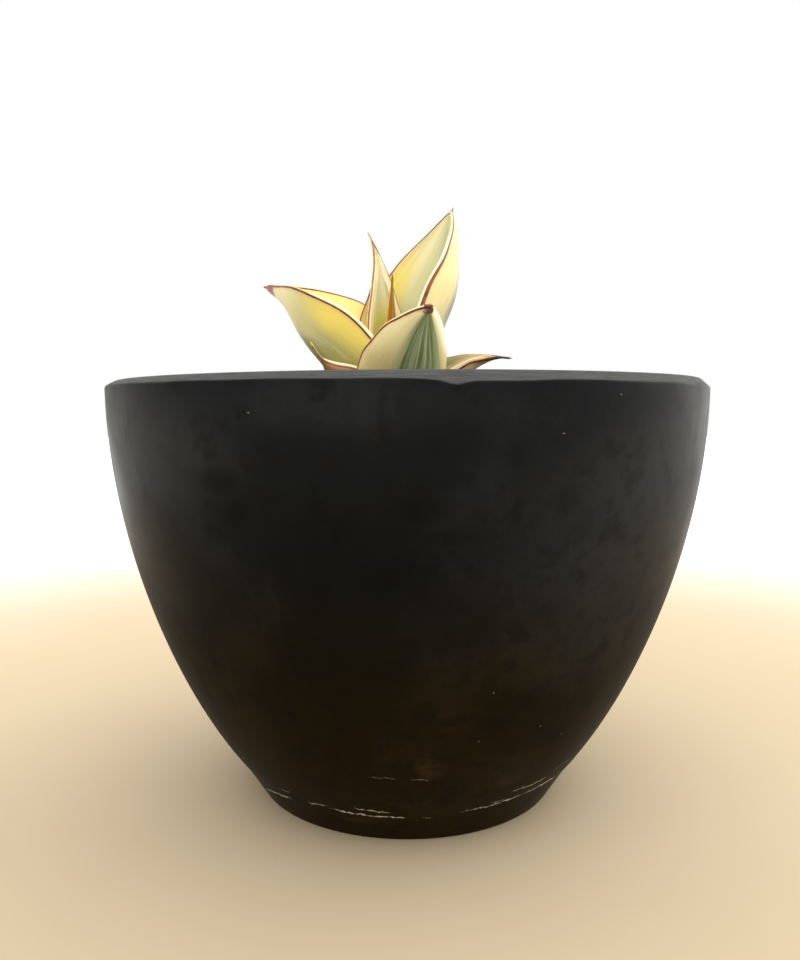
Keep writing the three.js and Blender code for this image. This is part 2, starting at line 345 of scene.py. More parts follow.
def smooth_curve(values, share):
    """A smooth curve through evenly spaced values, read at each share of its length."""
    values = np.asarray(values, float)
    first, last = 2 * values[0] - values[1], 2 * values[-1] - values[-2]
    padded = np.concatenate([[first], values, [last]])
    at = np.clip(share, 0, 1) * (len(values) - 1)
    index = np.minimum(at.astype(int), len(values) - 2)
    f = at - index
    before, start, end, after = (padded[index + k] for k in range(4))
    second = (2 * before - 5 * start + 4 * end - after) / 2
    third = (3 * start - before - 3 * end + after) / 2
    return start + f * ((end - before) / 2 + f * (second + f * third))


def close_rings(rings, start, end, turned=False):
    """Points and faces of a closed skin over rings of equal size, with a point at each end; turned is for
    rings that run the other way round."""
    count, sides = rings.shape[:2]
    points = np.concatenate([rings.reshape(-1, 3), [start, end]])
    total = count * sides
    last = total - sides
    faces = []
    for j in range(sides):
        after = (j + 1) % sides
        for low in range(0, last, sides):
            high = low + sides
            faces.append((low + j, high + j, high + after, low + after))
        faces.append((total, j, after))
        faces.append((total + 1, last + after, last + j))
    if turned:
        faces = [(face[0], *face[:0:-1]) for face in faces]
    return points, faces


# Leaf shape
def leaf_directions(leaf, share):
    """Unit vectors along the leaf, across it and out of its inner face."""
    heading = np.radians(smooth_curve(leaf["heading"], share))
    rise = np.radians(smooth_curve(leaf["rise"], share))
    roll = np.radians(smooth_curve(leaf["roll"], share))[:, None]
    flat = np.stack([np.cos(heading), np.sin(heading)], -1)
    along = np.concatenate([flat * np.cos(rise)[:, None], np.sin(rise)[:, None]], 1)
    level = np.concatenate([-flat * np.sin(rise)[:, None], np.cos(rise)[:, None]], 1)
    across = np.cross(level, along)
    side = across * np.cos(roll) + level * np.sin(roll)
    up = level * np.cos(roll) - across * np.sin(roll)
    return along, side, up


def leaf_midline(leaf, share):
    """Points along the middle of the leaf, from its root."""
    middle = (np.arange(MIDLINE_STEPS) + 0.5) / MIDLINE_STEPS
    along, _, _ = leaf_directions(leaf, middle)
    path = np.concatenate([np.zeros((1, 3)), np.cumsum(along, 0) * leaf["length"] / MIDLINE_STEPS])
    at = np.linspace(0, 1, MIDLINE_STEPS + 1)
    return np.array(leaf["root"]) + np.stack([np.interp(share, at, path[:, k]) for k in range(3)], -1)


def leaf_widths(leaf, share):
    """Half width, reach to the right and left, and rim radius at each share."""
    neck = np.minimum(share * leaf["length"] / NECK_LENGTH, 1)
    draw_in = mix(NECK_SHARE, 1, neck * neck * (3 - 2 * neck))
    half = np.maximum(smooth_curve((*leaf["half_widths"], 0), share), THINNEST_HALF) * draw_in
    lean = leaf["lean"] * np.sin(np.pi * share)
    rim = np.minimum(mix(*RIM_RADIUS, share), RIM_SHARE * half)
    return half, half * (1 + lean), half * (1 - lean), rim


def leaf_rings(leaf, share):
    """Each ring's points (across, up) in millimetres, and each point's share across, from -1 to 1."""
    half, right, left, rim = (value[:, None] for value in leaf_widths(leaf, share))
    depth = rim + leaf["belly"] * half
    even = np.linspace(0, 1, UNDER_POINTS)
    angle = np.pi * (even - MARGIN_CROWDING * np.sin(2 * np.pi * even) / (2 * np.pi))[None]
    reach = np.where(np.cos(angle) >= 0, right, left)
    under = (reach * np.cos(angle), -depth * np.sin(angle))
    turn = np.linspace(np.pi, np.pi / 2, RIM_POINTS)[None, 1:]
    left_rim = (-(left - rim) + rim * np.cos(turn), rim * np.sin(turn))
    across = np.sin(np.linspace(-np.pi / 2, np.pi / 2, CHANNEL_POINTS))[None, 1:-1]
    hollow = leaf["channel"] * half * (1 - np.abs(across) ** CHANNEL_ROUNDNESS)
    channel = (np.where(across >= 0, right - rim, left - rim) * across, rim - hollow)
    turn = np.linspace(np.pi / 2, 0, RIM_POINTS)[None, :-1]
    right_rim = (right - rim + rim * np.cos(turn), rim * np.sin(turn))
    arcs = [under, left_rim, channel, right_rim]
    sideways = np.concatenate([arc[0] for arc in arcs], 1)
    upward = np.concatenate([arc[1] for arc in arcs], 1)
    share_across = sideways / np.where(sideways >= 0, right, left)
    return sideways, upward, share_across


def edge_distance(sideways, upward):
    """How far round the ring each point is from the nearer margin, less than 0 on the under face."""
    size = sideways.shape[1]
    step = np.hypot(np.roll(sideways, -1, 1) - sideways, np.roll(upward, -1, 1) - upward)
    travelled = np.concatenate([np.zeros((len(step), 1)), np.cumsum(step, 1)], 1)
    total = travelled[:, -1:]
    place = travelled[:, :size]
    left_margin = place[:, UNDER_POINTS - 1:UNDER_POINTS]
    from_left = np.abs(place - left_margin)
    from_right = np.minimum(place, total - place)
    distance = np.minimum(from_left, from_right)
    is_under = np.arange(size)[None] < UNDER_POINTS
    return np.where(is_under, -distance, distance)


def ring_normals(sideways, upward):
    """Unit vectors (across, up) that point out of each ring."""
    along_side = np.roll(sideways, -1, 1) - np.roll(sideways, 1, 1)
    along_up = np.roll(upward, -1, 1) - np.roll(upward, 1, 1)
    length = np.hypot(along_side, along_up) + 1e-9
    return -along_up / length, along_side / length


def leaf_relief(share, share_across, rng):
    """Fine lengthwise ridges of a few hundredths of a millimetre, different on every leaf."""
    relief = np.zeros_like(share_across)
    for ridges in RELIEF_RIDGES:
        phase, drift, wave = rng.uniform(0, 2 * np.pi), rng.uniform(-1, 1), rng.uniform(0, 2 * np.pi)
        strength = 0.5 + 0.5 * np.sin(share * 5 + wave)
        relief += strength[:, None] * np.sin(ridges * share_across * 1.6 + phase + drift * share[:, None] * 3)
    return relief * RELIEF_HIGH


def dried_crumple(leaf, share, points_round):
    """How far a shrivelled tip stands out, in folds that run round and along it."""
    turn = np.linspace(0, 2 * np.pi, points_round)[None]
    crumple = 0.4 + 0.8 * np.sin(3 * turn + 1.2) * np.sin(5 * turn + share[:, None] * 160)
    sets_in = np.clip((share - DRIED_FROM) / DRIED_SETS_IN, 0, 1)[:, None]
    closes = np.clip((1 - share) / DRIED_CLOSES, 0, 1)[:, None]
    return DRIED_HIGH * leaf.get("dried", 0) * sets_in * crumple * closes


def build_leaf(name, leaf, material):
    rng = np.random.default_rng(SEED + len(name) * 7 + ord(name[-1]))
    share = np.linspace(0, 1, LEAF_STATIONS)
    along, side, up = leaf_directions(leaf, share)
    middle = leaf_midline(leaf, share)
    sideways, upward, share_across = leaf_rings(leaf, share)
    size = sideways.shape[1]
    edge = edge_distance(sideways, upward)
    is_right = share_across > 0
    line_at, line_strength, band_wide, peach = (
        np.where(is_right, right, left) for left, right in zip(*leaf["margins"]))
    climb_from, climb_over = LINE_CLIMB
    climb = leaf.get("line_climbs", 0) * np.clip((share - climb_from) / climb_over, 0, 1)[:, None]
    from_line = edge - line_at - climb
    body = np.clip(leaf_widths(leaf, share)[0] / FULL_BODY, 0, 1)[:, None]
    relief = leaf_relief(share, share_across, rng) * body * np.clip(np.abs(edge) / 2, 0, 1)
    bead = BEAD_HIGH * line_strength * body * np.exp(-(from_line / BEAD_WIDE) ** 2)
    out = relief + bead + dried_crumple(leaf, share, size)
    out_side, out_up = ring_normals(sideways, upward)
    sideways = sideways + out_side * out
    upward = upward + out_up * out
    ripple = np.sin(share[:, None] * rng.uniform(16, 24) + rng.uniform(0, 6) + is_right * 2)
    upward = upward + RIPPLE_HIGH * ripple * body * np.sin(np.pi * share)[:, None] * share_across ** 6
    ring = middle[:, None] + side[:, None] * sideways[..., None] + up[:, None] * upward[..., None]
    points, faces = close_rings(ring, leaf["root"], middle[-1] + along[-1] * POINT_LENGTH)

    # What the finish reads at each point of the rings, then at the root point and at the tip
    values = {
        "leaf_along": (np.repeat(share, size), 0, 1),
        "leaf_across": (share_across, 0, 0),
        "leaf_edge": (edge, -1, 0),
        "from_line": (from_line, -1, 0),
        "line_strength": (line_strength, 0, 0),
        "band_wide": (band_wide, 0, 0),
        "band_peach": (peach, 0, 0),
    }
    attributes = {
        key: np.concatenate([on_rings.reshape(-1), (at_root, at_tip)])
        for key, (on_rings, at_root, at_tip) in values.items()}
    return new_piece(name + "_skin", points, faces, material, attributes)


# Leaf colours. A face has a ground colour and patches: (colour, middle along, middle across, reach
# along, reach across, strength). Besides them: the width of the margin line at the base and the tip, how
# much it thickens at the tip, where the pale band closes, where the dried tip starts and its colour, and
# the green stripes as (middle across, reach across, strength)
LEAF_LOOKS = {
    "leaf_spear": dict(
        inner=[AMBER, [((196, 164, 70), 0.72, 0.8, 0.5, 0.42, 1)]],
        under=[AMBER, []],
        rim=AMBER,
        streaks=0.15,
        tip=(0.9, (132, 94, 14))),
    "leaf_young": dict(
        inner=[(200, 191, 146), [
            ((186, 180, 48), 0.3, 0.1, 0.3, 1.0, 0.95),
            ((180, 158, 104), 0.65, -0.5, 0.4, 0.28, 0.8),
            ((206, 172, 74), 0.34, -0.85, 0.22, 0.3, 0.9),
            ((240, 232, 184), 0.7, 0.9, 0.45, 0.4, 1)]],
        under=[(222, 210, 150), [((196, 192, 132), 0.4, 0, 0.5, 0.6, 0.6)]],
        thick_tip=0,
        tip=(0.98, (190, 140, 96)),
        green=(0.05, 0.5, 0.8)),
    "leaf_back": dict(
        inner=[(240, 216, 150), [(PALE_GREEN, 0.5, 0, 0.6, 0.5, 0.6)]],
        under=[(214, 198, 126), [((196, 192, 132), 0.5, 0, 0.6, 0.5, 0.6)]],
        tip=(0.95, RED_BROWN),
        green=(0.1, 0.5, 0.7)),
    "leaf_tall": dict(
        inner=[(188, 182, 134), [
            ((164, 158, 114), 0.8, -0.15, 0.2, 0.3, 0.8),
            ((212, 198, 150), 0.82, 0.55, 0.3, 0.3, 0.9),
            ((214, 196, 92), 0.5, 0.8, 0.32, 0.42, 1),
            ((180, 175, 124), 0.5, 0.05, 0.4, 0.32, 0.8),
            ((134, 136, 92), 0.7, -0.66, 0.2, 0.12, 0.6)]],
        under=[(178, 168, 112), [
            ((228, 208, 142), 0.7, -1, 0.55, 0.34, 1),
            ((124, 124, 82), 0.5, -0.5, 0.6, 0.3, 1),
            ((206, 194, 132), 0.5, 0.9, 0.5, 0.4, 0.8)]],
        line_wide=(2.4, 1),
        thick_tip=0,
        tip=(0.99, RED_BROWN),
        green=(0.3, 0.42, 0.85)),
    "leaf_left": dict(
        inner=[(228, 202, 116), [((190, 186, 116), 0.5, 0.1, 0.5, 0.4, 0.6)]],
        under=[(184, 178, 114), [
            ((210, 196, 128), 0.62, 0.75, 0.25, 0.4, 0.9),
            ((226, 212, 158), 0.82, 0.9, 0.22, 0.7, 0.9),
            # Painted glow: a golden strip along this margin, light shining through the leaf
            ((232, 206, 92), 0.36, 1, 0.28, 0.14, 1),
            ((160, 148, 70), 0.22, 0.7, 0.25, 0.35, 0.8),
            ((128, 126, 64), 0.44, 0.4, 0.35, 0.34, 0.9),
            ((116, 116, 62), 0.72, 0.2, 0.22, 0.34, 0.9)]],
        band_closes=(0.42, 0.68),
        thick_tip=0.1,
        tip=(0.86, (132, 60, 34)),
        green=(-0.4, 0.45, 0.85)),
    "leaf_front": dict(
        inner=[(232, 222, 160), [(LEAF_GREEN, 0.5, 0, 0.7, 0.6, 0.6)]],
        under=[(226, 210, 148), [
            ((240, 226, 170), 0.85, -0.9, 0.25, 0.4, 0.7),
            ((196, 172, 112), 0.4, -0.75, 0.25, 0.4, 0.5),
            ((232, 226, 178), 0.7, 1, 0.4, 0.26, 0.9)]],
        band_closes=(0.75, 1.0),
        line_wide=(1.5, 1.1),
        thick_tip=0,
        tip=(0.962, (112, 52, 34)),
        green=(0.03, 0.7, 1)),
    "leaf_low_right": dict(
        inner=[(170, 150, 104), [
            ((128, 128, 88), 0.35, 0.6, 0.26, 0.5, 0.8),
            ((200, 174, 142), 0.72, 0.3, 0.3, 0.6, 0.9)]],
        under=[(184, 176, 142), [
            ((150, 96, 66), 0.8, -0.95, 0.14, 0.4, 0.9),
            (PALE_GREEN, 0.6, -0.75, 0.15, 0.3, 0.8)]],
        tip=(0.88, (66, 54, 50))),
    "leaf_low_left": dict(
        inner=[(210, 196, 140), [(LEAF_GREEN, 0.4, 0, 0.5, 0.5, 0.5)]],
        under=[(158, 122, 84), [
            ((178, 118, 82), 0.72, 0.8, 0.25, 0.4, 0.9),
            ((216, 194, 136), 0.96, 0.2, 0.15, 1.3, 1)]],
        streaks=1.6,
        thick_tip=0.05,
        tip=(0.985, (200, 176, 120))),
}


def new_group(name, inputs, output):
    """A node group with number inputs; output works out its one result from the tree and the inputs."""
    group = bpy.data.node_groups.new(name, "ShaderNodeTree")
    for key in inputs:
        group.interface.new_socket(key, in_out="INPUT", socket_type="NodeSocketFloat")
    group.interface.new_socket("Mask", in_out="OUTPUT", socket_type="NodeSocketFloat")
    given = group.nodes.new("NodeGroupInput").outputs
    result = group.nodes.new("NodeGroupOutput")
    group.links.new(output(Tree(group), given), result.inputs[0])
    return group


def patch_mask(tree, given):
    """1 in the middle of an oval patch, fading to 0 at its edge."""
    away = []
    for axis in ("Along", "Across"):
        offset = tree.sub(given[axis], given["Middle " + axis])
        away.append(tree.math("POWER", tree.math("DIVIDE", offset, given["Reach " + axis]), 2))
    distance = tree.math("SQRT", tree.add(*away))
    return tree.remap(distance, 0.25, 1.1, 1, 0)


OVAL_PATCH = new_group(
    "oval_patch", ("Along", "Across", "Middle Along", "Middle Across", "Reach Along", "Reach Across"),
    patch_mask)


def lay_patches(tree, look, along, across):
    """One face's colour: its ground colour with each patch laid over it."""
    color, patches = look
    for patch_color, *oval, strength in patches:
        mask = tree.group(OVAL_PATCH, along, across, *oval)
        color = tree.mix(color, patch_color, tree.mul(mask, strength))
    return color


def green_stripes(tree, color, along, across, middle, reach, strength):
    """Lengthwise green stripes that run together at the tip."""
    drift = tree.stretched(across, 3, along, 2, 4.0, 2)
    moved = tree.add(across, tree.sway(drift, 0.12))
    off = tree.math("ABSOLUTE", tree.sub(moved, middle))
    band = tree.remap(off, reach * 0.62, reach * 1.05, 1, 0)
    fine = tree.stretched(moved, 9, along, 0.7, 1.0, 3, 0.6)
    coarse = tree.stretched(moved, 3.4, along, 0.4, 7.0, 1)
    stripe = tree.remap(tree.add(tree.mul(fine, 0.6), tree.mul(coarse, 0.4)), 0.38, 0.62)
    green = tree.mix((174, 184, 134), (84, 104, 54), stripe)
    return tree.mix(color, green, tree.mul(band, strength))


def lay_margin(tree, color, look, along, nibble):
    """The pale band inside the margin, then the brown margin line with its reddish bleed."""
    ragged = tree.sway(nibble, 0.9)
    from_line = tree.attribute("from_line")
    near_tip = tree.remap(along, *look.get("band_closes", (0.7, 0.93)))
    band_end = tree.add(tree.mul(tree.attribute("band_wide"), tree.sub(1, near_tip)), ragged)
    band = tree.remap(tree.sub(band_end, from_line), -0.25, 0.25)
    band = tree.mul(band, tree.remap(from_line, 0.1, 0.4))
    band_color = tree.mix(look.get("rim", RIM_CREAM), PEACH, tree.attribute("band_peach"))
    color = tree.mix(color, band_color, tree.mul(band, 0.9))
    line_strength = tree.attribute("line_strength")
    is_below = tree.math("LESS_THAN", from_line, 0)
    bleed = tree.mul(tree.remap(tree.add(from_line, ragged), -1.6, -0.3), is_below)
    color = tree.mix(color, (206, 130, 84), tree.mul(tree.mul(bleed, line_strength), 0.4))
    off_line = tree.math("ABSOLUTE", tree.add(from_line, tree.mul(ragged, 0.3)))
    off_line = tree.sub(off_line, tree.mul(near_tip, look.get("thick_tip", 0.4)))
    line_wide = tree.remap(along, 0.35, 0.8, *look.get("line_wide", (1, 1)))
    line = tree.remap(tree.math("DIVIDE", off_line, line_wide), 0.24, 0.46, 1, 0)
    line_color = tree.mix(LINE_BROWN, DARK_BROWN, tree.remap(nibble, 0.4, 0.65))
    return tree.mix(color, line_color, tree.mul(line, line_strength))


def leaf_material(name, look):
    material, tree, shader = new_material(name + "_finish")
    along = tree.attribute("leaf_along")
    across = tree.attribute("leaf_across")
    point = tree.place_mm()[0]
    seed = float(sum(map(ord, name)) % 37)
    streak = tree.stretched(across, 11, along, 1.5, seed, 4, 0.6)
    cloud = tree.noise(point, 0.09, 3, 0.55)
    nibble = tree.noise(point, 0.35, 3, 0.6)
    wander_across = tree.add(across, tree.sway(streak, 0.16))
    wander_along = tree.add(along, tree.sway(cloud, 0.14))
    inner = lay_patches(tree, look["inner"], wander_along, wander_across)
    under = lay_patches(tree, look["under"], wander_along, wander_across)
    if "green" in look:
        under = green_stripes(tree, under, along, across, *look["green"])
    color = tree.mix(inner, under, tree.math("LESS_THAN", tree.attribute("leaf_edge"), 0))
    streaks = look.get("streaks", 1)
    color = tree.mix(color, (140, 142, 92), tree.remap(streak, 0.52, 0.8, 0, 0.22 * streaks))
    color = tree.mix(color, (250, 240, 200), tree.remap(streak, 0.5, 0.2, 0, 0.25 * streaks))
    color = lay_margin(tree, color, look, along, nibble)

    # Dried tip
    start, tip_color = look["tip"]
    uneven = tree.add(along, tree.sway(nibble, 0.02))
    color = tree.mix(color, tip_color, tree.mul(tree.remap(uneven, start - 0.015, start + 0.015), 0.9))

    ridges = tree.mul(streak, tree.remap(along, 0.7, 0.9, 0.6, 0))
    height = tree.add(ridges, tree.mul(tree.noise(point, 1.6, 3), 0.4))
    tree.feed_all(
        shader, Base_Color=color, Roughness=tree.remap(cloud, 0.3, 0.7, 0.36, 0.5),
        Normal=tree.bump(height, 0.35, 0.12), Subsurface_Weight=0.12,
        Subsurface_Radius=(1.0, 0.7, 0.3), Subsurface_Scale=3 * MM, Specular_IOR_Level=0.4)
    return material


# Pot
BODY_TOP = POT_HEIGHT - LIP_BEVEL_HIGH


def pot_radius_at(height):
    down = (BODY_TOP - height) / (BODY_TOP - FOOT_HEIGHT)
    return POT_RADIUS - BOWL_DRAWN_IN * down ** BOWL_ROUNDNESS - HEEL_DRAWN_IN * down ** HEEL_SHARPNESS


def rounded_corner(before, corner, after, radius, steps=4):
    """A few points that round the corner between two straight stretches."""
    before, corner, after = (np.array(p, float) for p in (before, corner, after))
    start = corner + (before - corner) / np.linalg.norm(before - corner) * radius
    end = corner + (after - corner) / np.linalg.norm(after - corner) * radius
    points = []
    for i in range(steps + 1):
        t = i / steps
        points.append(tuple((1 - t) ** 2 * start + 2 * t * (1 - t) * corner + t * t * end))
    return points


def pot_profile():
    """The pot's outline as (radius, height), from the foot's outer edge round and back to it."""
    foot_edge = (FOOT_RADIUS, 0)
    heel = (pot_radius_at(FOOT_HEIGHT), FOOT_HEIGHT)
    above_heel = (pot_radius_at(FOOT_HEIGHT + 2), FOOT_HEIGHT + 2)
    crease = (POT_RADIUS, BODY_TOP)
    lip_outer = (POT_RADIUS - LIP_BEVEL_WIDE, POT_HEIGHT)
    lip_inner = (POT_RADIUS - LIP_BEVEL_WIDE - LIP_FLAT, POT_HEIGHT)
    inside_top = (POT_RADIUS - WALL, BODY_TOP)
    ring_inner = (FOOT_RADIUS - FOOT_RING_WIDE, 0)
    recess_edge = (FOOT_RADIUS - FOOT_RING_WIDE - FOOT_RECESS, FOOT_RECESS)
    rounding = EDGE_ROUNDINGS
    profile = rounded_corner(ring_inner, foot_edge, heel, rounding["foot"])
    for step in range(1, FOOT_STEPS):
        share = step / FOOT_STEPS
        profile.append((mix(foot_edge[0], heel[0], share), mix(0, FOOT_HEIGHT, share)))
    profile += rounded_corner(foot_edge, heel, above_heel, rounding["heel"], 5)
    for step in range(1, WALL_STEPS):
        height = mix(FOOT_HEIGHT + 1.6, BODY_TOP - 0.9, (step / WALL_STEPS) ** 1.15)
        profile.append((pot_radius_at(height), height))
    profile += rounded_corner((POT_RADIUS, BODY_TOP - 4), crease, lip_outer, rounding["crease"])
    profile.append((mix(crease[0], lip_outer[0], 0.5), mix(crease[1], lip_outer[1], 0.5)))
    profile += rounded_corner(crease, lip_outer, lip_inner, rounding["lip"])
    profile += rounded_corner(lip_outer, lip_inner, inside_top, rounding["lip"])
    for step in range(1, INSIDE_STEPS):
        height = mix(BODY_TOP, FLOOR_HEIGHT + 6, step / INSIDE_STEPS)
        profile.append((pot_radius_at(height) - WALL, height))
    profile += [(FOOT_RADIUS - WALL, FLOOR_HEIGHT), (DRAIN_RADIUS, FLOOR_HEIGHT)]
    profile += [(DRAIN_RADIUS, FOOT_RECESS), recess_edge]
    profile += rounded_corner(recess_edge, ring_inner, foot_edge, rounding["recess"])
    return profile


def build_pot(material):
    profile = np.array(pot_profile())
    angle = np.linspace(0, 2 * np.pi, POT_SIDES, endpoint=False)[:, None]
    radius = np.repeat(profile[None, :, 0], POT_SIDES, 0)
    height = np.repeat(profile[None, :, 1], POT_SIDES, 0)

    # Hand-worn surface: shallow swells round the wall, a wandering bevel edge and one chip in it
    swell = 0.1 * np.sin(3 * angle + 0.4) + 0.06 * np.sin(7 * angle + height / 23)
    radius = radius + swell * np.clip(height / 20, 0, 1) * (radius > 40)
    front = (angle + np.pi / 2 + np.pi) % (2 * np.pi) - np.pi
    near_crease = np.exp(-((height - BODY_TOP) / EDGE_REACH) ** 2) * (radius > POT_RADIUS - 2)
    from_chip = (front - CHIP_ANGLE) * POT_RADIUS
    dip = np.exp(-((from_chip - DIP_ASIDE) / DIP_WIDE) ** 4)
    chip = np.exp(-(from_chip / CHIP_WIDE) ** 2)
    wander = 0.05 * np.sin(9 * angle) + 0.05 * np.sin(23 * angle + 1)
    height = height + near_crease * (EDGE_RISE + wander - DIP_DEEP * dip - CHIP_DEEP * chip)
    radius = radius - near_crease * chip * CHIP_INWARD
    height = height + LIP_TILT * np.sin(front) * np.clip((height - BODY_TOP - 1) / 1.5, 0, 1)
    x, y = radius * np.cos(angle), radius * np.sin(angle)
    points = np.stack([x, y, height], -1).reshape(-1, 3)
    size = len(profile)
    faces = []
    for i in range(POT_SIDES):
        this, following = i * size, (i + 1) % POT_SIDES * size
        for j in range(size):
            after = (j + 1) % size
            faces.append((this + j, following + j, following + after, this + after))
    above_crease = np.where(profile[:, 0] > POT_RADIUS - WALL - 1, profile[:, 1] - BODY_TOP, -9)
    attributes = {"above_crease": np.tile(above_crease, POT_SIDES)}
    return new_piece("pot_skin", points, faces, material, attributes)


# Chalky scratches along the heel: (start angle, start height, end angle, end height, half width, strength).
# Angles are in degrees round the pot from the front, to the viewer's right.
SCRATCHES = [
    (-55, 7.6, -36, 10.5, 0.3, 0.8),
    (-42, 13.1, -34, 13.6, 0.14, 0.4),
    (-31.5, 11.1, -22.8, 12.3, 0.24, 0.7),
    (-25, 11, -3.5, 10.3, 0.32, 1),
    (-16.5, 13.5, -2.8, 12.4, 0.22, 0.75),
    (-9.5, 10.7, 0.8, 10.4, 0.24, 0.95),
    (-9.2, 27.6, -1, 27.5, 0.16, 0.2),
    (0.5, 27.2, 6, 26.9, 0.18, 0.22),
    (4, 10.1, 8, 9.9, 0.18, 0.25),
    (13.5, 11.2, 29, 12.1, 0.16, 0.6),
    (18, 11.1, 38, 13.3, 0.24, 0.9),
    (24.3, 13.1, 30, 13.3, 0.16, 0.5),
    (29.8, 16.4, 35.4, 17.4, 0.2, 0.7),
    (32.5, 16, 44, 17.7, 0.22, 0.7),
    (34, 12.9, 55, 14.6, 0.3, 1),
    (-62, 4.5, -47, 8.8, 0.16, 0.4),
    (44, 19.5, 52, 22, 0.14, 0.3),
]


def scratch_mask(tree, given):
    """1 on an uneven stroke between two places on the pot's wall."""
    run = tree.sub(given["End Angle"], given["Start Angle"])
    share = tree.math("DIVIDE", tree.sub(given["Angle"], given["Start Angle"]), run)
    climb = tree.sub(given["End Height"], given["Start Height"])
    line = tree.add(given["Start Height"], tree.mul(share, climb))
    wobble = tree.sway(given["Wobble"], 2.4)
    off = tree.math("ABSOLUTE", tree.add(tree.sub(given["Height"], line), wobble))
    ends = tree.mul(tree.remap(share, 0, 0.3), tree.remap(share, 0.75, 1, 1, 0))
    blobs = tree.remap(given["Blobs"], 0.36, 0.66, 0.15, 1.5)
    width = tree.mul(tree.mul(given["Half Width"], ends), blobs)
    soft = tree.math("DIVIDE", tree.sub(width, off), given["Half Width"])
    return tree.mul(tree.remap(soft, -0.3, 0.3), ends)


SCRATCH = new_group(
    "scratch", ("Angle", "Height", "Wobble", "Blobs", "Start Angle", "Start Height", "End Angle",
                "End Height", "Half Width"), scratch_mask)


# Soft marks on the wall: (middle angle, middle height, reach in degrees, reach in height, strength)
# Painted sheen: pale patches high on the wall, mostly on the flanks and stronger on the right
SHEEN_PATCHES = [
    (32, 100, 26, 26, 0.5),
    (48, 116, 28, 18, 0.5),
    (36, 78, 22, 32, 0.4),
    (-46, 118, 26, 20, 0.6),
    (-8, 131, 30, 9, 0.2),
    (8, 72, 16, 16, 0.12),
]
BLOTCHES = [
    (-29, 112, 5, 4.5, 0.7),
    (-26, 104, 3.4, 5.5, 0.6),
    (-31, 98, 2.2, 4, 0.4),
    (2, 106, 5, 5, 0.5),
    (7, 99, 6, 3, 0.4),
    (-2, 90, 5, 6, 0.35),
    (24, 108, 3, 6, 0.3),
    (-54, 111, 0.9, 1.1, 0.9),
]
SMUDGES = [
    (5.2, 30.2, 4, 4.4, 0.16),
    (3.6, 33, 2.2, 5.5, 0.12),
    (-4.5, 32, 4, 5, 0.06),
    (26, 22, 5, 3, 0.1),
    (1.5, 16.8, 8, 1.8, 0.07),
    (-16, 7.4, 6, 1, 0.16),
    (27, 28, 10, 8, 0.05),
    (-12, 9, 12, 2.5, 0.07),
]
SPECKS = [(-22.5, 129), (22.5, 124), (32.5, 133.5), (16, 55.6), (29, 41.9), (15, 39.9), (37, 36.5)]
SPECK_REACH = (0.24, 0.28)
SPECK_STRENGTH = 0.22


def lay_marks(tree, color, marks, mark_color, broken, angle, height):
    """The colour with soft oval marks laid over it."""
    for *oval, strength in marks:
        mask = tree.mul(tree.group(OVAL_PATCH, angle, height, *oval), broken)
        color = tree.mix(color, mark_color, tree.mul(mask, strength))
    return color


def pot_wall_color(tree, up_share, clouds, streaks):
    """Brown black at the heel to blue black at the rim, with soft clouds and wiped streaks; the brown at the
    heel is painted reflection of a warm floor.
    """
    # Painted reflection: the warm browns low on the ramp stand for a warm floor reflected in the lower wall
    color = tree.ramp(up_share, [
        (0.0, (32, 20, 0)), (0.25, (22, 13, 0)), (0.45, (13, 9, 1)),
        (0.62, (8, 9, 8)), (0.8, (9, 12, 13)), (0.97, (12, 15, 18))])
    cool = tree.remap(up_share, 0.4, 0.75)
    # The clouds turn warm brown low on the wall as well: the same painted reflection
    cloud_color = tree.mix((36, 27, 10), (28, 30, 31), cool)
    color = tree.mix(color, cloud_color, tree.remap(clouds, 0.46, 0.7, 0, 0.65))
    wiped = tree.mul(tree.remap(streaks, 0.44, 0.72), tree.remap(clouds, 0.42, 0.6))
    return tree.mix(color, cloud_color, tree.mul(wiped, 0.3))


def lay_wall_marks(tree, color, point, degrees, height, clouds, grit):
    """Painted sheen as pale patches high on the flanks, dark blotches high on the wall, soft scuffs low on
    it.
    """
    mottle = tree.noise(point, 0.12, 4, 0.6)
    patchy = tree.noise(point, 0.3, 4, 0.65)
    broken_clouds = tree.remap(mottle, 0.3, 0.7, 0.45, 1)
    broken_grit = tree.mul(tree.remap(grit, 0.25, 0.75, 0.55, 1), tree.remap(patchy, 0.34, 0.66, 0.35, 1))
    moved_degrees = tree.add(degrees, tree.sway(mottle, 12))
    moved_height = tree.add(height, tree.sway(clouds, 14))
    nudged_degrees = tree.add(degrees, tree.sway(mottle, 5))
    # Painted sheen: pale patches, mostly high on the flanks
    color = lay_marks(tree, color, SHEEN_PATCHES, (44, 45, 44), broken_clouds, moved_degrees, moved_height)
    color = tree.mix(color, (4, 4, 2), tree.remap(mottle, 0.46, 0.72, 0, 0.65))
    color = lay_marks(tree, color, BLOTCHES, (3, 3, 3), 1.0, nudged_degrees, height)
    return lay_marks(tree, color, SMUDGES, (92, 76, 56), broken_grit, nudged_degrees, height)


def lay_flank_hairs_and_sheen(tree, color, angle, degrees, height, clouds):
    """Hair scratches high on both flanks, fine and upright; painted pale only on the flanks, where they catch
    the sheen, so they are real scratches with painted sheen.
    """
    hairs = tree.stretched(angle, 130, height, 0.05, 9.0, 3, 0.6)
    from_front = tree.math("ABSOLUTE", degrees)
    flank = tree.mul(tree.remap(from_front, 44, 54), tree.remap(from_front, 60, 72, 1, 0))
    flank = tree.mul(flank, tree.mul(tree.remap(height, 84, 100), tree.remap(clouds, 0.35, 0.55)))
    mask = tree.mul(tree.mul(tree.remap(hairs, 0.5, 0.75), flank), 0.5)
    # Painted sheen along real scratches: pale only where the flanks catch the light
    return tree.mix(color, (72, 72, 68), mask)


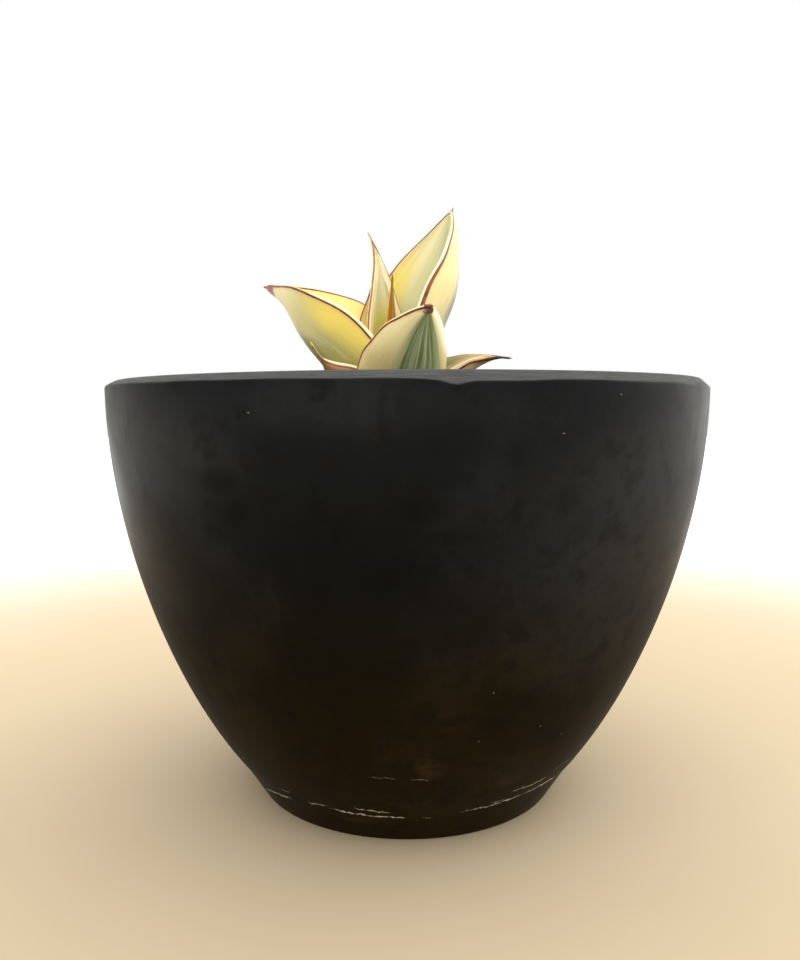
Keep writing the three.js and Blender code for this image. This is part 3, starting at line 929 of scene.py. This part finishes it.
def lay_scratches(tree, color, point, angle, degrees, height):
    """Chalky scratches round the heel."""
    wobble = tree.stretched(angle, 28, height, 0.3, 8.0, 4, 0.65)
    blobs = tree.stretched(angle, 38, height, 0.6, 5.0, 3, 0.7)
    crumbs = tree.remap(tree.noise(point, 2.6, 2, 0.6), 0.34, 0.52, 0.15, 1)
    chalk = 0.0
    for *place, strength in SCRATCHES:
        stroke = tree.group(SCRATCH, degrees, height, wobble, blobs, *place)
        chalk = tree.math("MAXIMUM", chalk, tree.mul(stroke, strength))
    return tree.mix(color, CHALK, tree.mul(chalk, crumbs))


def pot_material():
    material, tree, shader = new_material("pot_finish")
    point, x, y, z = tree.place_mm()
    angle = tree.math("ARCTAN2", x, tree.mul(y, -1))
    degrees = tree.math("DEGREES", angle)
    up_share = tree.remap(z, 0, POT_HEIGHT, smooth=False)
    clouds = tree.noise(point, 0.03, 4, 0.6)
    grit = tree.noise(point, 1.3, 3, 0.6)
    streaks = tree.stretched(angle, 26, z, 0.04, 3.0, 4, 0.6)
    color = pot_wall_color(tree, up_share, clouds, streaks)
    color = lay_wall_marks(tree, color, point, degrees, z, clouds, grit)
    color = lay_flank_hairs_and_sheen(tree, color, angle, degrees, z, clouds)
    color = lay_scratches(tree, color, point, angle, degrees, z)

    # Sanded lip, paler than the wall and streaked along its length, and a few specks
    sanded = tree.remap(tree.attribute("above_crease"), 0.0, 0.5)
    from_axis = tree.math("SQRT", tree.add(tree.mul(x, x), tree.mul(y, y)))
    across_lip = tree.sub(z, from_axis)
    lip_streaks = tree.stretched(angle, 12, across_lip, 1.6, 6.0, 4, 0.65)
    sanded_color = tree.mix((62, 63, 62), (78, 79, 78), tree.remap(lip_streaks, 0.35, 0.65))
    color = tree.mix(color, sanded_color, sanded)
    specks = [(*place, *SPECK_REACH, SPECK_STRENGTH) for place in SPECKS]
    color = lay_marks(tree, color, specks, CHALK, 1.0, degrees, z)

    dull = tree.add(tree.remap(up_share, 0.7, 0.35, 0, 0.35), tree.mul(sanded, 0.35))
    relief = tree.add(tree.mul(grit, 0.5), tree.mul(streaks, 0.5))
    tree.feed_all(
        shader, Base_Color=color, Roughness=tree.add(dull, tree.remap(clouds, 0.3, 0.7, 0.36, 0.5)),
        Normal=tree.bump(relief, 0.2, 0.1), Specular_IOR_Level=0.06, Specular_Tint=WARM_GLOSS,
        Sheen_Weight=0.05, Sheen_Tint=WARM_GLOSS, Sheen_Roughness=0.3)
    return material


# Soil
def soil_relief(x, y):
    from_crown = np.hypot(x - CROWN_X, y)
    mound = SOIL_MOUND * np.exp(-((from_crown / SOIL_MOUND_RADIUS) ** 2))
    slow = 0.6 * np.sin(0.09 * x + 1.1) * np.sin(0.11 * y + 2.3)
    quick = 0.45 * np.sin(0.21 * x - 0.17 * y + 0.6)
    return mound + slow + quick


def soil_crumbs(x, y):
    """Fine unevenness of the soil between its grains."""
    total = 0.5 * np.sin(0.9 * x + 2 * np.sin(0.31 * y)) * np.sin(0.8 * y + 1.7 * np.sin(0.37 * x))
    return total + 0.25 * np.sin(2.3 * x + 1.3 * y) * np.sin(2.1 * y - 1.1 * x)


def build_soil(material):
    angle = np.linspace(0, 2 * np.pi, SOIL_SIDES, endpoint=False)
    level = np.ones(SOIL_SIDES)

    def ring(radius, height):
        return np.stack([radius * np.cos(angle), radius * np.sin(angle), height * level], -1)

    edge = pot_radius_at(SOIL_LEVEL) - WALL - SOIL_EDGE_GAP
    rings = []
    for step in range(1, SOIL_RINGS + 1):
        made = ring(edge * step / SOIL_RINGS, SOIL_LEVEL)
        made[:, 2] += soil_relief(made[:, 0], made[:, 1]) + soil_crumbs(made[:, 0], made[:, 1])
        rings.append(made)
    for height in (SOIL_LEVEL - 4, 90, 60, 30, FLOOR_HEIGHT + 5):
        rings.append(ring(pot_radius_at(height) - WALL - SOIL_WALL_GAP, height))
    base = FLOOR_HEIGHT + SOIL_BASE_GAP
    rings.append(ring(SOIL_BASE_RADIUS, base))
    top = (0, 0, SOIL_LEVEL + soil_relief(0, 0))
    points, faces = close_rings(np.array(rings), top, (0, 0, base))
    return new_piece("soil_bed", points, faces, material)


def icosphere(divisions):
    """A round ball's points and triangles."""
    ball = bmesh.new()
    bmesh.ops.create_icosphere(ball, subdivisions=divisions, radius=1)
    points = np.array([vertex.co[:] for vertex in ball.verts])
    faces = np.array([[vertex.index for vertex in face.verts] for face in ball.faces])
    ball.free()
    return points, faces


# Loose grains on the soil: sizes and flatness run from least to most
GRAINS = {
    "pumice": dict(
        piece="pumice_grains", count=420, sizes=(0.8, 2.4), flatness=(0.6, 1), divisions=2, seed=1,
        roughness=0.9, tones=((150, 128, 100), (196, 178, 146), (224, 214, 192))),
    "bark": dict(
        piece="bark_chips", count=260, sizes=(1.2, 3.6), flatness=(0.2, 0.45), divisions=2, seed=2,
        roughness=0.8, tones=((60, 34, 20), (104, 64, 38), (140, 96, 60))),
    "humus": dict(
        piece="humus_crumbs", count=2600, sizes=(0.5, 1.8), flatness=(0.6, 1), divisions=1, seed=3,
        roughness=0.95, tones=((28, 20, 14), (50, 36, 26), (78, 58, 42))),
}


def build_grains(grains, material):
    """Loose grains scattered over the soil, each a lump of its own shape."""
    rng = np.random.default_rng(SEED + grains["seed"])
    ball, ball_faces = icosphere(grains["divisions"])
    smallest, largest = grains["sizes"]
    reach = pot_radius_at(SOIL_LEVEL) - WALL - GRAIN_WALL_GAP
    points, faces, tones = [], [], []
    for index in range(grains["count"]):
        size = smallest + (largest - smallest) * rng.random() ** 2
        radius = (reach - size) * math.sqrt(rng.random())
        angle = rng.uniform(0, 2 * math.pi)
        x, y = radius * math.cos(angle), radius * math.sin(angle)
        turn = np.array(Euler(rng.uniform(0, 2 * math.pi, 3) * (0.12, 0.12, 1)).to_matrix())
        shape = [rng.uniform(0.8, 1.3), rng.uniform(0.6, 1), rng.uniform(*grains["flatness"])]
        stretch = size * np.array(shape)
        lump = ball * stretch * rng.normal(1, GRAIN_UNEVEN, (len(ball), 1))
        lump = lump @ turn.T
        above = stretch[2] * (1 - 2 * GRAIN_SINK) + rng.uniform(-0.3, 0.5)
        faces.append(ball_faces + index * len(ball))
        points.append(lump + (x, y, SOIL_LEVEL + soil_relief(x, y) + above))
        tones.append(np.full(len(ball), rng.random()))
    attributes = {"grain_tone": np.concatenate(tones)}
    points, faces = np.concatenate(points), np.concatenate(faces)
    return new_piece(grains["piece"], points, faces, material, attributes, smooth=False)


def grain_material(name, grains):
    material, tree, shader = new_material(name + "_finish")
    point = tree.place_mm()[0]
    fine = tree.noise(point, 1.2, 4, 0.65)
    tone = tree.add(tree.mul(tree.attribute("grain_tone"), 0.75), tree.mul(fine, 0.25))
    color = tree.ramp(tone, list(zip((0.2, 0.5, 0.8), grains["tones"])))
    color = tree.mix(color, (18, 12, 8), tree.remap(fine, 0.5, 0.75, 0, 0.6))
    tree.feed_all(
        shader, Base_Color=color, Normal=tree.bump(fine, 0.6, 0.3), Roughness=grains["roughness"])
    return material


def soil_material():
    material, tree, shader = new_material("soil_bed_finish")
    point = tree.place_mm()[0]
    coarse = tree.noise(point, 0.5, 5, 0.7)
    fine = tree.noise(point, 2.2, 3, 0.6)
    color = tree.ramp(coarse, [
        (0.3, (18, 12, 8)), (0.5, (52, 37, 26)),
        (0.62, (84, 62, 44)), (0.75, (120, 96, 72))])
    color = tree.mix(color, (14, 10, 7), tree.remap(fine, 0.5, 0.7, 0, 0.7))
    relief = tree.add(coarse, tree.mul(fine, 0.5))
    tree.feed_all(shader, Base_Color=color, Normal=tree.bump(relief, 0.8, 1.0), Roughness=0.95)
    return material


# Crown and roots
def crown_points(rng):
    profile = np.array([
        (STEM_RADIUS * 0.7, STEM_BOTTOM), (STEM_RADIUS, STEM_BOTTOM + 6), (STEM_RADIUS, SOIL_LEVEL + 2),
        (CROWN_RADIUS * 0.9, CROWN_WIDEST - 1.6), (CROWN_RADIUS, CROWN_WIDEST),
        (CROWN_RADIUS * 0.8, mix(CROWN_WIDEST, CROWN_TOP, 0.35)),
        (HEART_RADIUS, mix(CROWN_WIDEST, CROWN_TOP, 0.7)), (HEART_RADIUS * 0.6, CROWN_TOP - 0.6)])
    share = np.linspace(0, 1, CROWN_STATIONS)
    radius, height = smooth_curve(profile[:, 0], share), smooth_curve(profile[:, 1], share)
    angle = np.linspace(0, 2 * np.pi, CROWN_SIDES, endpoint=False)[None]
    phases = rng.uniform(0, 2 * np.pi, 3)
    ribs = 0.25 * np.sin(11 * angle + phases[0]) + 0.18 * np.sin(23 * angle + phases[1] + height[:, None])
    rings = 0.2 * np.sin(height[:, None] * 3.1 + 2 * np.sin(angle + phases[2]))
    radius = radius[:, None] + ribs + rings
    x, y = CROWN_X + radius * np.cos(angle), radius * np.sin(angle)
    return np.stack([x, y, np.repeat(height[:, None], CROWN_SIDES, 1)], -1)


def tube_points(path, radii, sides):
    """Rings of points round a path."""
    path = np.asarray(path)
    along = np.gradient(path, axis=0)
    along /= np.linalg.norm(along, axis=1)[:, None]
    side = np.cross(along, (0, 0, 1.0)) + (1e-9, 0, 0)
    side /= np.linalg.norm(side, axis=1)[:, None]
    other = np.cross(along, side)
    angle = np.linspace(0, 2 * np.pi, sides, endpoint=False)
    around = side[:, None] * np.cos(angle)[None, :, None] + other[:, None] * np.sin(angle)[None, :, None]
    return path[:, None] + around * np.asarray(radii)[:, None, None]


def build_crown(material):
    rng = np.random.default_rng(SEED + 5)
    skins = [crown_points(rng)]
    for heading, reach in ROOTS:
        out = np.array([math.cos(math.radians(heading)), math.sin(math.radians(heading)), 0])
        stops = [
            (CROWN_RADIUS * 0.5, CROWN_WIDEST - 1), (mix(CROWN_RADIUS, reach, 0.4), CROWN_WIDEST - 2),
            (reach * 0.93, SOIL_LEVEL + 1), (reach, ROOT_BOTTOM)]
        share = np.linspace(0, 1, ROOT_STATIONS)
        away = smooth_curve([s[0] for s in stops], share)
        height = smooth_curve([s[1] for s in stops], share)
        path = np.array([CROWN_X, 0, 0]) + away[:, None] * out + height[:, None] * np.array([0, 0, 1.0])
        radii = ROOT_RADIUS * (1 + 0.08 * np.sin(share * 40 + heading)) * mix(1.1, 0.85, share)
        skins.append(tube_points(path, radii, ROOT_SIDES))
    points, faces, start = [], [], 0
    for rings in skins:
        skin_points, skin_faces = close_rings(rings, rings[0].mean(0), rings[-1].mean(0), turned=True)
        faces += [tuple(corner + start for corner in face) for face in skin_faces]
        points.append(skin_points)
        start += len(skin_points)
    return new_piece("crown_skin", np.concatenate(points), faces, material)


def crown_material():
    material, tree, shader = new_material("crown_finish")
    _, x, y, z = tree.place_mm()
    fibres = tree.noise(tree.vector(x, y, tree.mul(z, 0.25)), 1.4, 4, 0.65)
    color = tree.ramp(fibres, [
        (0.3, (70, 44, 26)), (0.5, (140, 104, 68)),
        (0.65, (178, 144, 98)), (0.8, (206, 182, 136))])
    tree.feed_all(shader, Base_Color=color, Normal=tree.bump(fibres, 0.7, 0.4), Roughness=0.8)
    return material


# Stage
def build_floor():
    """A pale floor that pales to white well away from the pot, so that it has no visible edge."""
    material, tree, shader = new_material("floor_finish")
    point, x, y, _ = tree.place_mm()
    cloud = tree.noise(point, 0.01, 3)
    pale = tree.mix((182, 164, 135), (188, 171, 143), cloud)
    away = tree.math("SQRT", tree.add(tree.mul(x, x), tree.mul(y, y)))
    color = tree.mix(pale, WHITE, tree.remap(away, *FLOOR_FADE))
    tree.feed_all(shader, Base_Color=color, Roughness=0.8, Specular_IOR_Level=0.2)
    reach = FLOOR_REACH
    points = [(-reach, -reach, 0), (reach, -reach, 0), (reach, reach, 0), (-reach, reach, 0)]
    floor = new_piece("floor", points, [(0, 1, 2, 3)], material, smooth=False)


def build_world():
    """White behind everything, and a studio that is brighter behind the plant than in front of it."""
    world = bpy.data.worlds.new("studio")
    bpy.context.scene.world = world
    world.use_nodes = True
    tree = Tree(world.node_tree)
    world.node_tree.nodes.clear()
    direction = tree.node("ShaderNodeTexCoord").outputs["Generated"]
    parts = tree.node("ShaderNodeSeparateXYZ", None, direction)
    rightward, depth, height = parts.outputs
    brightest = STUDIO_AROUND[-1][1]
    greys = [(share, (level / brightest,) * 3 + (1,)) for share, level in STUDIO_AROUND]
    around = tree.mul(tree.ramp(tree.remap(depth, -1, 1, smooth=False), greys), brightest)
    around = tree.mul(around, tree.add(1, tree.mul(rightward, STUDIO_RIGHT)))
    strength = tree.add(around, tree.remap(height, 0.1, 0.9, 0, STUDIO_TOP))
    light = tree.node("ShaderNodeBackground", Color=(252, 251, 248), Strength=strength)
    white = tree.node("ShaderNodeBackground", Color=WHITE, Strength=1.0)
    seen = tree.node("ShaderNodeLightPath").outputs["Is Camera Ray"]
    both = tree.node("ShaderNodeMixShader", None, seen, light.outputs[0], white.outputs[0])
    tree.node("ShaderNodeOutputWorld", Surface=both.outputs[0])


def build_light(name, toward, strength, softness):
    """A wide soft light from far away; toward points from the plant to the light."""
    data = bpy.data.lights.new(name, "SUN")
    data.energy = strength
    data.angle = math.radians(softness)
    light = bpy.data.objects.new(name, data)
    bpy.context.collection.objects.link(light)
    light.rotation_euler = Vector(toward).to_track_quat("Z", "Y").to_euler()


def build_camera():
    data = bpy.data.cameras.new("camera")
    data.lens = LENS_MM
    data.sensor_width = SENSOR_MM
    data.clip_start, data.clip_end = CAMERA_SEES
    camera = bpy.data.objects.new("camera", data)
    bpy.context.collection.objects.link(camera)
    camera.location = (0, -CAMERA_AWAY * MM, CAMERA_HIGH * MM)
    camera.rotation_euler = (math.radians(90 - CAMERA_DOWN), 0, math.radians(CAMERA_LEFT))
    bpy.context.scene.camera = camera


def dress(piece, node):
    """The piece rides with the plant's one body and stands for a CAD node."""
    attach(piece, "root")
    if node:
        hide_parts(node)


build_camera()
build_world()
build_floor()
build_light("key", KEY_TOWARD, KEY_STRENGTH, KEY_SOFTNESS)
bpy.context.scene.view_settings.view_transform = "Standard"

dress(build_pot(pot_material()), "pot")
dress(build_soil(soil_material()), "soil")
dress(build_crown(crown_material()), "crown")
for grains_name, grains in GRAINS.items():
    dress(build_grains(grains, grain_material(grains_name, grains)), None)
for leaf_name, leaf in LEAVES.items():
    finish = leaf_material(leaf_name, LEAF_LOOKS[leaf_name])
    dress(build_leaf(leaf_name, leaf, finish), leaf_name)
